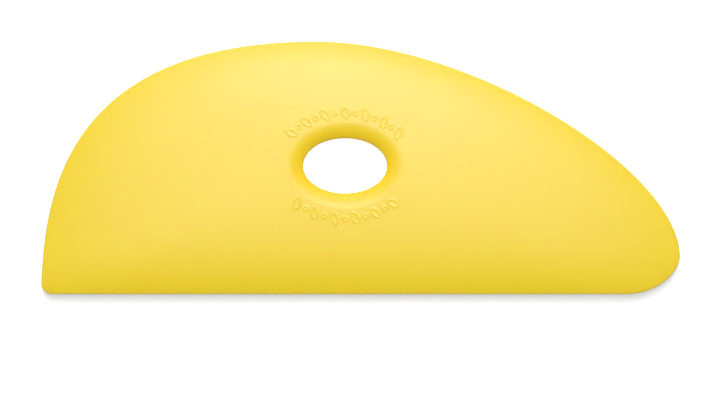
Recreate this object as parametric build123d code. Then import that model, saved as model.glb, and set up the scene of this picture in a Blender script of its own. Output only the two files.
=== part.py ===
from build123d import *
from math import atan2, cos, degrees, pi, radians, sin, sqrt
import os

# A pottery rib moulded in one piece. It lies on its flat back with the domed face up.
# X runs along the straight working edge, from the heel corner to the rounded nose.
# Y runs from the straight edge to the arched edge, and Z is the thickness.
# The origin is on the back, in the middle of the overall length and width.
# Lengths are in millimetres and angles in degrees.

# Overall size
length = 127.0
width = 50.2
crown_thickness = 6.35
edge_thickness = 4.7

# Outline, measured from the heel end and from the straight edge
heel_radius = 2.1
flank_lean = 3.7
arch_top_from_heel = 54.5
nose_height = 7.5
nose_run = 10.6

# How far each curve is pulled along its end tangents, as shares of the stretch that it crosses
flank_pull_share = 0.262
arch_heel_pull_share = 0.968
arch_nose_pull_share = 0.431
nose_top_pull_share = 0.397
nose_low_pull_share = 0.408
nose_base_pull_share = 0.581

# Finger hole, a level oval whose centre is measured like the outline
hole_length = 16.76
hole_width = 11.04
hole_from_heel = 60.42
hole_from_edge = 25.56
quarter_pull_share = 0.5523
flare_width = 3.5
flare_radius = 5.4
flare_ease = 0.45
flare_steps = 7
cut_overrun = 1.0

# Roundings
hole_back_radius = 0.9
rim_front_radius = 0.35
rim_back_radius = 0.5

# Dome: part of its fall is spread from the hole outwards, and the rest comes late, towards the rim
spread_fall_share = 0.36
late_fall_power = 6.4
dome_cap_share = 0.13
dome_steps = 8

# Two raised bands of outlined leaves and beads, one above the hole and one below it
relief_height = 0.05
relief_line = 0.28
leaf_length = 2.8
leaf_width = 1.5
leaf_slant = 24
bead_diameter = 1.1
band_from_hole = 5.0
upper_leaves = 7
upper_spread = 104
lower_leaves = 6
lower_spread = 90

hole_x = hole_from_heel - length / 2
hole_y = hole_from_edge - width / 2


def place(along, up, share, height):
    """Put a point of the outline in the frame, drawn in by a share towards the hole's centre."""
    x = hole_x + share * (along - hole_from_heel)
    y = hole_y + share * (up - hole_from_edge)
    return (x, y, height)


def outline(share, height):
    """Make the closed outline at a height: heel arc, arched edge in two curves, nose and straight edge."""
    lean = radians(flank_lean)
    heel_angles = [-pi / 2, -(3 * pi / 2 + lean) / 2, -pi - lean]
    heel = [(heel_radius * (1 + cos(angle)), heel_radius * (1 + sin(angle))) for angle in heel_angles]
    flank = heel[-1]
    flank_pull = flank_pull_share * width
    arch_top = (arch_top_from_heel, width)
    arch_to_nose = length - arch_top_from_heel
    nose = (length, nose_height)
    straight_end = (length - nose_run, 0)
    curves = [
        [
            flank,
            (flank[0] + flank_pull * sin(lean), flank[1] + flank_pull * cos(lean)),
            (arch_top_from_heel * (1 - arch_heel_pull_share), width),
            arch_top,
        ],
        [
            arch_top,
            (arch_top_from_heel + arch_nose_pull_share * arch_to_nose, width),
            (length, nose_height + nose_top_pull_share * (width - nose_height)),
            nose,
        ],
        [
            nose,
            (length, nose_height * (1 - nose_low_pull_share)),
            (length - nose_run * (1 - nose_base_pull_share), 0),
            straight_end,
        ],
    ]
    edges = [Edge.make_three_point_arc(*[place(*point, share, height) for point in heel])]
    edges += [Edge.make_bezier(*[place(*point, share, height) for point in curve]) for curve in curves]
    edges.append(Edge.make_line(edges[-1] @ 1, edges[0] @ 0))
    return Wire(edges)


def dome_section(step):
    """Give the share of the outline and the thickness at one step from the rim up to the cap over the hole."""
    share = 1 - (1 - dome_cap_share) * step / dome_steps
    fall = spread_fall_share * share**2 + (1 - spread_fall_share) * share**late_fall_power
    return share, crown_thickness - (crown_thickness - edge_thickness) * fall


def make_blank():
    """Make the rib without its hole: an upright wall under a dome lofted through drawn-in outlines."""
    wall = extrude(Face(outline(1, 0)), edge_thickness, dir=(0, 0, 1))
    dome = Solid.make_loft([outline(*dome_section(step)) for step in range(dome_steps + 1)])
    blank = (wall + dome).solids()[0]
    front_rim = blank.edges().filter_by_position(Axis.Z, edge_thickness, edge_thickness)
    blank = blank.fillet(rim_front_radius, front_rim)
    back = blank.faces().sort_by(Axis.Z)[0]
    return blank.fillet(rim_back_radius, back.outer_wire().edges())


def oval(grow, height):
    """Make the hole's oval, grown by a width all round, out of four curves at a height."""
    half_along = hole_length / 2 + grow
    half_across = hole_width / 2 + grow
    corners = [(half_along, 0), (0, half_across), (-half_along, 0), (0, -half_across)]
    quarters = []
    for start, end in zip(corners, corners[1:] + corners[:1]):
        points = [
            start,
            (start[0] + quarter_pull_share * end[0], start[1] + quarter_pull_share * end[1]),
            (end[0] + quarter_pull_share * start[0], end[1] + quarter_pull_share * start[1]),
            end,
        ]
        quarters.append(Edge.make_bezier(*[(hole_x + x, hole_y + y, height) for x, y in points]))
    return Wire(quarters)


def flare_section(step):
    """Give the growth of the oval and its height at one step of the arc from the wall up to the face."""
    run = flare_width * (1 - step / flare_steps)
    eased_run = sqrt(run**2 + flare_ease**2) - flare_ease
    drop = flare_radius - sqrt(flare_radius**2 - eased_run**2)
    return flare_width - run, crown_thickness - drop


def cut_finger_hole(rib):
    """Cut the oval hole, flared towards the front and rounded on the back."""
    depth = crown_thickness + 2 * cut_overrun
    rib = rib - extrude(Face(oval(0, -cut_overrun)), depth, dir=(0, 0, 1))
    flare = Solid.make_loft([oval(*flare_section(step)) for step in range(flare_steps + 1)])
    rib = (rib - flare).solids()[0]
    back = rib.faces().sort_by(Axis.Z)[0]
    return rib.fillet(hole_back_radius, back.inner_wires()[0].edges())


def leaf(inset):
    """Draw a pointed oval of two equal arcs, standing along Y, with its sides drawn in."""
    radius = (leaf_length**2 + leaf_width**2) / (4 * leaf_width) - inset
    side = leaf_width / 2 - inset
    tip = sqrt(radius**2 - (radius - side) ** 2)
    right = Edge.make_three_point_arc((0, -tip), (side, 0), (0, tip))
    left = Edge.make_three_point_arc((0, tip), (-side, 0), (0, -tip))
    return Face(Wire([right, left]))


def relief_outlines():
    """Draw the outlined leaves and the beads between them along the two bands round the hole."""
    leaf_ring = leaf(0) - leaf(relief_line)
    bead_ring = Circle(bead_diameter / 2) - Circle(bead_diameter / 2 - relief_line)
    half_along = hole_length / 2 + band_from_hole
    half_across = hole_width / 2 + band_from_hole
    rings = []
    for middle, leaves, spread in ((90, upper_leaves, upper_spread), (-90, lower_leaves, lower_spread)):
        places = 2 * leaves - 1
        for index in range(places):
            angle = radians(middle + spread / 2 - spread * index / (places - 1))
            x = half_along * cos(angle)
            y = half_across * sin(angle)
            outward = degrees(atan2(y / half_across**2, x / half_along**2)) - 90
            ring = bead_ring if index % 2 else Rot(0, 0, leaf_slant) * leaf_ring
            rings.append(Pos(hole_x + x, hole_y + y) * Rot(0, 0, outward) * ring)
    return rings


def raise_relief(rib, blank):
    """Lift the face by the relief's height inside each outlined leaf and bead."""
    lifted = Pos(0, 0, relief_height) * blank
    depth = crown_thickness + cut_overrun
    raised = [extrude(ring, depth, dir=(0, 0, 1)) & lifted for ring in relief_outlines()]
    return (rib + raised).solids()[0]


def make_rib():
    """Make the whole rib."""
    blank = make_blank()
    return raise_relief(cut_finger_hole(blank), blank)


os.makedirs("parts", exist_ok=True)
rib = make_rib()
export_step(rib, "parts/rib.step")
print("rib volume", round(rib.volume), "valid", rib.is_valid, "faces", len(rib.faces()))
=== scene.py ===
from math import atan2, cos, pi, radians, sin, sqrt

import bmesh
import bpy
import numpy as np
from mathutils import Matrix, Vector, geometry, kdtree


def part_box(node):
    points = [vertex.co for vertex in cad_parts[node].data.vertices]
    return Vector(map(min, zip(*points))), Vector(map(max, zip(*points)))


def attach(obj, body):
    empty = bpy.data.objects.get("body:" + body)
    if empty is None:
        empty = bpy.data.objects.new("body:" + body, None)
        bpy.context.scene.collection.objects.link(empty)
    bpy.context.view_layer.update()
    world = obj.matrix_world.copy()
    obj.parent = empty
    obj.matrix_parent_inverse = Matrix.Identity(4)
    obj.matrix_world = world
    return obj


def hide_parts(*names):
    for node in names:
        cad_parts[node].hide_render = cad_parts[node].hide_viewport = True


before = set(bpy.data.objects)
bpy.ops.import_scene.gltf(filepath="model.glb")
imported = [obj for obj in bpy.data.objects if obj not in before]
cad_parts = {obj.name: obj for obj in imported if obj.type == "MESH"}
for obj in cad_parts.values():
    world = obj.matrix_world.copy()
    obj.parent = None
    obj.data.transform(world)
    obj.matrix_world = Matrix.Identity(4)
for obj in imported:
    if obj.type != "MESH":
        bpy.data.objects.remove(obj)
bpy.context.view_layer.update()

# The pottery rib lies on its flat back, domed face up, straight edge towards -Y, nose towards +X.
# Shapes are worked out in millimetres and go into Blender in metres.
mm = 0.001
lowest, highest = (Vector(corner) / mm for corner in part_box("rib"))
print("frame loaded, the rib measures", [round(side, 2) for side in highest - lowest])

ribShape = {
    "heelRadius": 2.1,  # outline, measured from the heel end and from the straight edge
    "flankLean": 3.7,
    "archTop": 54.5,
    "noseHeight": 7.5,
    "noseRun": 10.6,
    "flankPull": 0.262,  # pulls of the curves' ends, as shares of the stretch each crosses
    "archHeelPull": 0.968,
    "archNosePull": 0.431,
    "noseTopPull": 0.397,
    "noseLowPull": 0.408,
    "noseBasePull": 0.581,
    "holeLength": 16.76,
    "holeWidth": 11.04,
    "holeAlong": 60.42,
    "holeUp": 25.56,
    "crown": 6.35,
    "edge": 4.7,
    "spreadFall": 0.36,  # share of the dome's fall that is spread from the hole outwards
    "lateFallPower": 6.4,  # the rest of the fall comes late, towards the rim
    "cornerSoftness": 0.3,  # radians round the hole over which the dome is evened out
    "flareWidth": 3.5,
    "flareRadius": 5.4,
    "flareEase": 0.45,  # softens the line where the flare meets the face
    "holeBackRound": 0.9,
    "rimFrontRound": 0.35,
    "rimBackRound": 0.5,
    "rimSpacing": 0.5,  # distance between points round the outline, round the hole and on the face
    "holeSpacing": 0.25,
    "faceSpacing": 0.7,
    "backSpacing": 2.5,
    "roundSteps": 8,
    "wallSteps": 4,
    "flareSteps": 20,
    "weld": 1e-7,  # metres
}

reliefShape = {
    "height": 0.03,
    "line": 0.28,
    "flank": 0.1,  # width of the sloping side of each raised line
    "leafLength": 2.8,
    "leafWidth": 1.5,
    "leafSlant": 24,
    "beadDiameter": 1.1,
    "bandFromHole": 5.0,
    "bandWidth": 4.2,
    "bands": ((90, 7, 104), (-90, 6, 90)),  # middle, leaves and spread of each band
    "spacing": 0.12,
    "fillSpacing": 0.28,
}


# Outline and height of the face, all measured from the centre of the finger hole

ribLength = highest.x - lowest.x
ribWidth = highest.y - lowest.y
holeCentre = np.array([lowest.x + ribShape["holeAlong"], lowest.y + ribShape["holeUp"]])


def curvePoints(corners, count=400):
    p0, p1, p2, p3 = (np.array(corner, float) for corner in corners)
    t = np.linspace(0, 1, count, endpoint=False)[:, None]
    return (1 - t) ** 3 * p0 + 3 * (1 - t) ** 2 * t * p1 + 3 * (1 - t) * t**2 * p2 + t**3 * p3


def arcPoints(centre, radius, start, end, count=200):
    t = np.linspace(start, end, count, endpoint=False)
    return np.stack([centre[0] + radius * np.cos(t), centre[1] + radius * np.sin(t)], 1)


def outlinePoints(shape):
    heel = shape["heelRadius"]
    lean = radians(shape["flankLean"])
    flank = (heel - heel * cos(lean), heel + heel * sin(lean))
    flankPull = shape["flankPull"] * ribWidth
    top = (shape["archTop"], ribWidth)
    toNose = ribLength - shape["archTop"]
    nose = (ribLength, shape["noseHeight"])
    straightEnd = (ribLength - shape["noseRun"], 0)
    stretches = [
        curvePoints([(heel, 0), (heel, 0), straightEnd, straightEnd]),
        curvePoints([
            straightEnd,
            (ribLength - shape["noseRun"] * (1 - shape["noseBasePull"]), 0),
            (ribLength, shape["noseHeight"] * (1 - shape["noseLowPull"])),
            nose,
        ]),
        curvePoints([
            nose,
            (ribLength, shape["noseHeight"] + shape["noseTopPull"] * (ribWidth - shape["noseHeight"])),
            (shape["archTop"] + shape["archNosePull"] * toNose, ribWidth),
            top,
        ]),
        curvePoints([
            top,
            (shape["archTop"] * (1 - shape["archHeelPull"]), ribWidth),
            (flank[0] + flankPull * sin(lean), flank[1] + flankPull * cos(lean)),
            flank,
        ]),
        arcPoints((heel, heel), heel, pi - lean, 3 * pi / 2),
    ]
    return np.concatenate(stretches) - (shape["holeAlong"], shape["holeUp"])


def evenly(points, spacing):
    # spreads points evenly round a closed line
    closed = np.vstack([points, points[:1]])
    along = np.concatenate([[0], np.cumsum(np.hypot(*np.diff(closed, axis=0).T))])
    count = int(round(along[-1] / spacing))
    stops = np.linspace(0, along[-1], count, endpoint=False)
    return np.stack([np.interp(stops, along, closed[:, axis]) for axis in (0, 1)], 1)


def leftNormals(points):
    # unit normals to the left of the way round, which is inwards on an outline
    run = np.roll(points, -1, axis=0) - np.roll(points, 1, axis=0)
    normals = np.stack([-run[:, 1], run[:, 0]], 1)
    return normals / np.hypot(*normals.T)[:, None]


outline = outlinePoints(ribShape)
outlineAngles = np.arctan2(outline[:, 1], outline[:, 0])
outlineReach = np.hypot(*outline.T)


def softReach(turn, window):
    # the outline's reach averaged over a window of angle, so that no crease runs to the heel corner
    angles = np.arange(-pi, pi, turn)
    reach = np.interp(angles, outlineAngles, outlineReach, period=2 * pi)
    count = int(window / turn) // 2
    bell = np.hanning(2 * count + 1)
    wrapped = np.concatenate([reach[-count:], reach, reach[:count]])
    return angles, np.convolve(wrapped, bell / bell.sum(), "valid")


domeAngles, domeReach = softReach(turn=0.005, window=ribShape["cornerSoftness"])


def faceHeight(points, shape=ribShape):
    angles = np.arctan2(points[:, 1], points[:, 0])
    share = np.hypot(*points.T) / np.interp(angles, domeAngles, domeReach, period=2 * pi)
    fall = shape["spreadFall"] * share**2 + (1 - shape["spreadFall"]) * share ** shape["lateFallPower"]
    return shape["crown"] - (shape["crown"] - shape["edge"]) * fall


def withHeight(points, heights):
    return np.column_stack([points, np.broadcast_to(heights, len(points))])


# Rings of the rounded rim and of the flared hole, each from the back up to the face


def wallRings(points, inward, backRound, top, steps, wallSteps):
    # round the back edge, then straight up the wall
    rings = []
    for step in range(steps + 1):
        angle = -pi / 2 * (1 - step / steps)
        reach = backRound * (1 - cos(angle))
        rings.append(withHeight(points + inward * reach, backRound * (1 + sin(angle))))
    for step in range(1, wallSteps):
        rings.append(withHeight(points, backRound + (top - backRound) * step / wallSteps))
    return rings


def rimRings(shape):
    points = evenly(outline, shape["rimSpacing"])
    inward = leftNormals(points)
    radius = shape["rimFrontRound"]
    probe = 0.01
    rounds = 4
    reach = np.full(len(points), radius)
    for attempt in range(rounds):  # finds where the rounding meets the face
        touch = points + inward * reach[:, None]
        slope = (faceHeight(touch + inward * probe) - faceHeight(touch - inward * probe)) / (2 * probe)
        tilt = np.arctan(slope)
        reach = radius * (1 - np.sin(tilt))
    foot = faceHeight(points + inward * reach[:, None]) - radius * np.cos(tilt)
    rings = wallRings(points, inward, shape["rimBackRound"], foot, shape["roundSteps"], shape["wallSteps"])
    for step in range(shape["roundSteps"] + 1):
        angle = (pi / 2 - tilt) * step / shape["roundSteps"]
        inset = radius * (1 - np.cos(angle))
        rings.append(withHeight(points + inward * inset[:, None], foot + radius * np.sin(angle)))
    return rings


def holeRings(shape):
    circle = arcPoints((0, 0), 1, 0, 2 * pi, count=2000)
    points = evenly(circle * (shape["holeLength"] / 2, shape["holeWidth"] / 2), shape["holeSpacing"])
    outward = -leftNormals(points)
    width, radius, ease = shape["flareWidth"], shape["flareRadius"], shape["flareEase"]

    def drop(run):
        # how far the flare lies below its crest, at a distance from it
        easedRun = sqrt(run**2 + ease**2) - ease
        return radius - sqrt(radius**2 - easedRun**2)

    crest = faceHeight(points + outward * width)
    lip = crest - drop(width)
    rings = wallRings(points, outward, shape["holeBackRound"], lip, shape["roundSteps"], shape["wallSteps"])
    for step in range(shape["flareSteps"] + 1):
        run = width * (1 - step / shape["flareSteps"])
        rings.append(withHeight(points + outward * (width - run), crest - drop(run)))
    return rings


# Raised leaves and beads, each an outline of four lines: foot, crest, crest and foot


def leafLine(inset, relief):
    radius = (relief["leafLength"] ** 2 + relief["leafWidth"] ** 2) / (4 * relief["leafWidth"]) - inset
    side = relief["leafWidth"] / 2 - inset
    tip = sqrt(radius**2 - (radius - side) ** 2)
    bend = atan2(tip, radius - side)
    right = arcPoints((side - radius, 0), radius, -bend, bend)
    return evenly(np.vstack([right, -right]), relief["spacing"])


def beadLine(inset, relief):
    return evenly(arcPoints((0, 0), relief["beadDiameter"] / 2 - inset, 0, 2 * pi), relief["spacing"])


def reliefLines(shape, relief):
    # every line with the height that it lifts the face
    halfAlong = shape["holeLength"] / 2 + relief["bandFromHole"]
    halfUp = shape["holeWidth"] / 2 + relief["bandFromHole"]
    insets = [
        (-relief["flank"] / 2, 0),
        (relief["flank"] / 2, relief["height"]),
        (relief["line"] - relief["flank"] / 2, relief["height"]),
        (relief["line"] + relief["flank"] / 2, 0),
    ]
    lines = []
    for middle, leaves, spread in relief["bands"]:
        places = 2 * leaves - 1
        for place in range(places):
            angle = radians(middle + spread / 2 - spread * place / (places - 1))
            centre = np.array([halfAlong * cos(angle), halfUp * sin(angle)])
            turn = atan2(centre[1] / halfUp**2, centre[0] / halfAlong**2) - pi / 2
            isBead = place % 2 == 1
            turn += 0 if isBead else radians(relief["leafSlant"])
            spin = np.array([[cos(turn), sin(turn)], [-sin(turn), cos(turn)]])
            for inset, lift in insets:
                line = (beadLine if isBead else leafLine)(inset, relief)
                lines.append((line @ spin + centre, lift))
    return lines


def gridPoints(spacing):
    # a grid of even triangles over the whole outline
    reach = outlineReach.max()
    rowSpacing = spacing * sqrt(0.75)
    rows = int(reach / rowSpacing)
    columns = int(reach / spacing)
    found = []
    for row in range(-rows, rows + 1):
        x = (np.arange(-columns, columns + 1) + 0.5 * (row % 2)) * spacing
        found.append(np.stack([x, np.full(len(x), row * rowSpacing)], 1))
    return np.vstack(found)


def insideOutline(points, inset):
    angles = np.arctan2(points[:, 1], points[:, 0])
    reach = np.interp(angles, outlineAngles, outlineReach, period=2 * pi)
    return np.hypot(*points.T) < reach - inset


def ovalReach(points, grow):
    # 1 on the hole's oval grown by a width, less inside it and more outside it
    halves = (ribShape["holeLength"] / 2 + grow, ribShape["holeWidth"] / 2 + grow)
    return np.hypot(points[:, 0] / halves[0], points[:, 1] / halves[1])


def awayFrom(points, taken, clear):
    tree = kdtree.KDTree(len(taken))
    for index, point in enumerate(taken):
        tree.insert((point[0], point[1], 0), index)
    tree.balance()
    return np.array([tree.find((x, y, 0))[2] > clear for x, y in points])


def patch(outer, inner, lines, fills):
    # triangles between an outer and an inner ring, through closed lines and over loose points
    clearShare = 0.6  # loose points keep this share of their spacing from the points before them
    loops = [(outer[:, :2], 0), (inner[:, :2], 0)] + lines
    points, edges, lifts = [], [], []
    for loop, lift in loops:
        start = len(points)
        points += [tuple(point) for point in loop]
        edges += [(start + i, start + (i + 1) % len(loop)) for i in range(len(loop))]
        lifts += [lift] * len(loop)
    for fill, spacing in fills:
        kept = fill[awayFrom(fill, points, spacing * clearShare)]
        points += [tuple(point) for point in kept]
        lifts += [0] * len(kept)
    made = geometry.delaunay_2d_cdt([Vector(point) for point in points], edges, [], 1, 1e-6)
    flat = np.array([tuple(point) for point in made[0]])
    lift = np.array([lifts[origin[0]] if origin else 0 for origin in made[3]])
    innerReach = np.hypot(*inner[:, :2].T)
    innerAngles = np.arctan2(inner[:, 1], inner[:, 0])
    faces = []
    for face in made[2]:
        x, y = flat[list(face)].mean(axis=0)
        if np.hypot(x, y) > np.interp(atan2(y, x), innerAngles, innerReach, period=2 * pi):
            faces.append(tuple(face))
    return flat, lift, faces


def facePatch(shape, relief, outer, inner):
    lines = reliefLines(shape, relief)
    fine = gridPoints(relief["fillSpacing"])
    band = relief["bandFromHole"]
    halfBand = relief["bandWidth"] / 2
    fine = fine[(ovalReach(fine, band - halfBand) > 1) & (ovalReach(fine, band + halfBand) < 1)]
    coarse = gridPoints(shape["faceSpacing"])
    onFace = insideOutline(coarse, shape["rimFrontRound"]) & (ovalReach(coarse, shape["flareWidth"]) > 1)
    flat, lift, faces = patch(
        outer, inner, lines, [(fine, relief["fillSpacing"]), (coarse[onFace], shape["faceSpacing"])]
    )
    heights = faceHeight(flat) + lift
    rims = {tuple(np.round(point[:2], 6)): point[2] for point in np.vstack([outer, inner])}
    for index, point in enumerate(flat):
        heights[index] = rims.get(tuple(np.round(point, 6)), heights[index])
    return withHeight(flat, heights), faces


def backPatch(shape, outer, inner):
    spacing = shape["backSpacing"]
    coarse = gridPoints(spacing)
    onBack = insideOutline(coarse, spacing) & (ovalReach(coarse, spacing) > 1)
    flat, lift, faces = patch(outer, inner, [], [(coarse[onBack], spacing)])
    return withHeight(flat, 0), [face[::-1] for face in faces]


def stitched(rings, flip):
    # quads between each ring and the next
    count = len(rings[0])
    faces = []
    for level in range(len(rings) - 1):
        for i in range(count):
            j = (i + 1) % count
            quad = (level * count + i, level * count + j, (level + 1) * count + j, (level + 1) * count + i)
            faces.append(quad[::-1] if flip else quad)
    return np.vstack(rings), faces


def makeRib(shape, relief):
    rim = rimRings(shape)
    hole = holeRings(shape)
    points, faces = [], []
    for somePoints, someFaces in (
        stitched(rim, False),
        stitched(hole, True),
        facePatch(shape, relief, rim[-1], hole[-1]),
        backPatch(shape, rim[0], hole[0]),
    ):
        start = sum(len(block) for block in points)
        points.append(somePoints)
        faces += [tuple(start + corner for corner in face) for face in someFaces]
    points = np.vstack(points)
    points[:, :2] += holeCentre
    mesh = bpy.data.meshes.new("mouldedRib")
    mesh.from_pydata((points * mm).tolist(), [], faces)
    work = bmesh.new()
    work.from_mesh(mesh)
    bmesh.ops.remove_doubles(work, verts=work.verts, dist=shape["weld"])
    gaps = [edge for edge in work.edges if len(edge.link_faces) != 2]
    work.to_mesh(mesh)
    work.free()
    mesh.polygons.foreach_set("use_smooth", [True] * len(mesh.polygons))
    print("rib mesh:", len(mesh.polygons), "faces,", len(gaps), "open edges")
    piece = bpy.data.objects.new("mouldedRib", mesh)
    bpy.context.scene.collection.objects.link(piece)
    return piece


# Materials


class Flow:
    # an output socket in a node tree; sums and products of values add their own nodes
    def __init__(self, tree, socket=None):
        self.tree = tree
        self.socket = socket

    def add(self, kind, settings=None, inputs=None, output=0):
        node = self.tree.nodes.new(kind)
        for name, value in (settings or {}).items():
            setattr(node, name, value)
        for name, value in (inputs or {}).items():
            if isinstance(value, Flow):
                self.tree.links.new(value.socket, node.inputs[name])
            else:
                node.inputs[name].default_value = value
        return Flow(self.tree, node.outputs[output] if node.outputs else None)

    def blend(self, share, first, second):
        colours = {"Factor": share, "A": first, "B": second}
        return self.add("ShaderNodeMix", {"data_type": "RGBA"}, colours, "Result")

    def calc(self, operation, first, second):
        return self.add("ShaderNodeMath", {"operation": operation}, {0: first, 1: second})

    def __add__(self, other):
        return self.calc("ADD", self, other)

    def __mul__(self, other):
        return self.calc("MULTIPLY", self, other)

    def __sub__(self, other):
        return self.calc("SUBTRACT", self, other)

    def __rsub__(self, other):
        return self.calc("SUBTRACT", other, self)

    __radd__ = __add__
    __rmul__ = __mul__


def holeFade(flow, full, gone):
    # 1 as far as the hole's oval times one factor, fading to 0 at the oval times another
    place = flow.add("ShaderNodeTexCoord", output="Object")
    centre = (holeCentre[0] * mm, holeCentre[1] * mm, 0)
    halves = (ribShape["holeLength"] / 2 * mm, ribShape["holeWidth"] / 2 * mm, 1)
    aside = flow.add("ShaderNodeVectorMath", {"operation": "SUBTRACT"}, {0: place, 1: centre})
    scaled = flow.add("ShaderNodeVectorMath", {"operation": "DIVIDE"}, {0: aside, 1: halves})
    reach = flow.add("ShaderNodeVectorMath", {"operation": "LENGTH"}, {0: scaled}, "Value")
    limits = {"Value": reach, "From Min": full, "From Max": gone, "To Min": 1, "To Max": 0}
    return flow.add("ShaderNodeMapRange", {"interpolation_type": "SMOOTHSTEP"}, limits)


def newMaterial(name):
    material = bpy.data.materials.new(name)
    material.use_nodes = True
    material.node_tree.nodes.clear()
    return material, Flow(material.node_tree)


polyurethane = {
    "yellow": (0.803, 0.597, 0.001, 1),
    "deepYellow": (0.793, 0.582, 0.001, 1),
    "sheenTint": (0.712, 0.761, 1, 1),
    "cloudScale": 45,
    "cloudDetail": 3,
    "cloudShare": 0.35,
    "roughness": 0.418,
    "roughnessSpread": 0.05,
    "flareShadeYellow": (0.848, 0.594, 0.001, 1),  # painted shade: the flare round the hole gets a warmer yellow that stands in for the warmer shade on its slope; it is also duller
    "holeRoughness": 0.15,
    "holeReach": (1.0, 1.6),
    "ior": 1.53,
    "coat": 0.044,  # a trace of a smoother skin over the satin body
    "coatRoughness": 0.246,
    "grainScale": 900,
    "grainDetail": 4,
    "grainHeight": 0.000005,
    "waveScale": 70,
    "waveDetail": 1,
    "waveHeight": 0.00002,
    "subsurface": 0.4,
    "subsurfaceReach": 0.0015,
    "subsurfaceSpread": (1, 0.35, 0.1),  # red light travels furthest in the plastic
}


def ribMaterial(look):
    material, flow = newMaterial("satinYellowPolyurethane")
    place = flow.add("ShaderNodeTexCoord", output="Object")

    def noise(name):
        sizes = {"Vector": place, "Scale": look[name + "Scale"], "Detail": look[name + "Detail"]}
        return flow.add("ShaderNodeTexNoise", {}, sizes, "Fac")

    cloud, grain, wave = noise("cloud"), noise("grain"), noise("wave")
    # painted shade: round the hole the colour turns to a warmer yellow that stands in for the warmer shade
    # on the flare's slope; the roughness rises there too
    flare = holeFade(flow, *look["holeReach"])
    face = flow.blend(cloud * look["cloudShare"], look["yellow"], look["deepYellow"])
    colour = flow.blend(flare, face, look["flareShadeYellow"])
    roughness = look["roughness"] + (cloud - 0.5) * look["roughnessSpread"] + flare * look["holeRoughness"]
    height = grain * look["grainHeight"] + wave * look["waveHeight"]
    normal = flow.add("ShaderNodeBump", {}, {"Height": height, "Distance": 1.0, "Strength": 1.0}, "Normal")
    shader = flow.add(
        "ShaderNodeBsdfPrincipled",
        {"subsurface_method": "RANDOM_WALK"},
        {
            "Base Color": colour,
            "Roughness": roughness,
            "IOR": look["ior"],
            "Coat Weight": look["coat"],
            "Coat Roughness": look["coatRoughness"],
            "Specular Tint": look["sheenTint"],
            "Subsurface Weight": look["subsurface"],
            "Subsurface Radius": look["subsurfaceSpread"],
            "Subsurface Scale": look["subsurfaceReach"],
            "Normal": normal,
        },
    )
    flow.add("ShaderNodeOutputMaterial", {}, {"Surface": shader})
    return material


# Pale floor, light and camera

studio = {
    "floorSize": 3.0,
    "floorGap": 0.00003,
    "floorColour": (0.62, 0.645, 0.69, 1),
    "floorGlow": 0.495,
    "holeGlow": 0.35,  # painted light: extra glow on the floor where it shows through the finger hole, which lifts out the rib's shadow there
    "holeReach": (1.05, 1.3),  # where it starts to fade and where it ends, in hole sizes
    "fill": 0.2,
    "lamps": {
        "overheadSoftbox": {"size": (0.12, 0.32), "from": (0.005, 0.193, 0.8), "strength": 4.57},
        "rearSoftbox": {"size": (1.4, 0.9), "from": (-0.06, 1.2, 1.075), "strength": 12.0},
    },
}


def seenRays(flow):
    # 1 on the rays that show a background: camera, glossy and transmission rays
    isRay = lambda kind: flow.add("ShaderNodeLightPath", output=f"Is {kind} Ray")
    return isRay("Camera") + isRay("Glossy") + isRay("Transmission")


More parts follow.
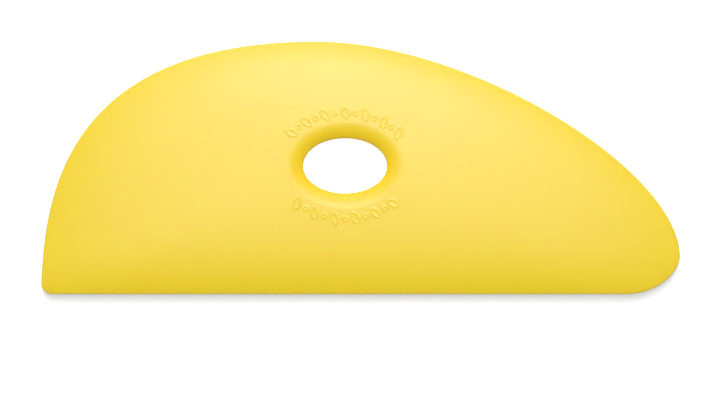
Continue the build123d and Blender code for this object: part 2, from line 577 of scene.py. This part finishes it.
def makeFloor(look):
    side = look["floorSize"] / 2
    mesh = bpy.data.meshes.new("studioFloor")
    square = ((-side, -side), (side, -side), (side, side), (-side, side))
    mesh.from_pydata([(x, y, -look["floorGap"]) for x, y in square], [], [(0, 1, 2, 3)])
    material, flow = newMaterial("paleFloor")
    matt = flow.add("ShaderNodeBsdfDiffuse", {}, {"Color": look["floorColour"]})

    def lifted(strength):
        glow = flow.add("ShaderNodeEmission", {}, {"Color": (1, 1, 1, 1), "Strength": strength})
        return flow.add("ShaderNodeAddShader", {}, {0: matt, 1: glow})

    # painted light: the floor under the finger hole glows brighter, so the rib's shadow there is lifted out
    underHole = holeFade(flow, *look["holeReach"])
    plain, whiter = lifted(look["floorGlow"]), lifted(look["floorGlow"] + look["holeGlow"])
    shown = flow.add("ShaderNodeMixShader", {}, {0: underHole, 1: plain, 2: whiter})
    surface = flow.add("ShaderNodeMixShader", {}, {0: seenRays(flow), 1: matt, 2: shown})
    flow.add("ShaderNodeOutputMaterial", {}, {"Surface": surface})
    mesh.materials.append(material)
    floor = bpy.data.objects.new("studioFloor", mesh)
    bpy.context.scene.collection.objects.link(floor)


def makeWorld(look):
    world = bpy.data.worlds.new("studio")
    world.use_nodes = True
    world.node_tree.nodes.clear()
    flow = Flow(world.node_tree)
    fill = flow.add("ShaderNodeBackground", {}, {"Color": (1, 1, 1, 1), "Strength": look["fill"]})
    white = flow.add("ShaderNodeBackground", {}, {"Color": (1, 1, 1, 1), "Strength": 1.0})
    surface = flow.add("ShaderNodeMixShader", {}, {0: seenRays(flow), 1: fill, 2: white})
    flow.add("ShaderNodeOutputWorld", {}, {"Surface": surface})
    bpy.context.scene.world = world


def makeLamps(look):
    for name, lamp in look["lamps"].items():
        light = bpy.data.lights.new(name, "AREA")
        light.shape = "RECTANGLE"
        light.size, light.size_y = lamp["size"]
        light.energy = lamp["strength"]
        holder = bpy.data.objects.new(name, light)
        holder.location = lamp["from"]
        holder.rotation_euler = (-Vector(lamp["from"])).to_track_quat("-Z", "Y").to_euler()
        bpy.context.scene.collection.objects.link(holder)


photoView = {
    "lens": 150,
    "sensor": 36,
    "frameWidth": 143.26,  # millimetres across the picture, at the height of the outline
    "outlineHeight": 3.9,
    "centreUp": 17.73,  # the picture's centre above the straight edge
    "centreAlong": -0.1,
}


def makeCamera(look):
    camera = bpy.data.cameras.new("photoCamera")
    camera.lens = look["lens"]
    camera.sensor_width = look["sensor"]
    holder = bpy.data.objects.new("photoCamera", camera)
    distance = look["frameWidth"] * look["lens"] / look["sensor"]
    centre = (look["centreAlong"], lowest.y + look["centreUp"], look["outlineHeight"] + distance)
    holder.location = Vector(centre) * mm
    bpy.context.scene.collection.objects.link(holder)
    bpy.context.scene.camera = holder


makeCamera(photoView)
rib = makeRib(ribShape, reliefShape)
rib.data.materials.append(ribMaterial(polyurethane))
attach(rib, "root")
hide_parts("rib")
print("rib dressed")

makeFloor(studio)
makeWorld(studio)
makeLamps(studio)
bpy.context.scene.view_settings.view_transform = "Standard"
print("studio lit")
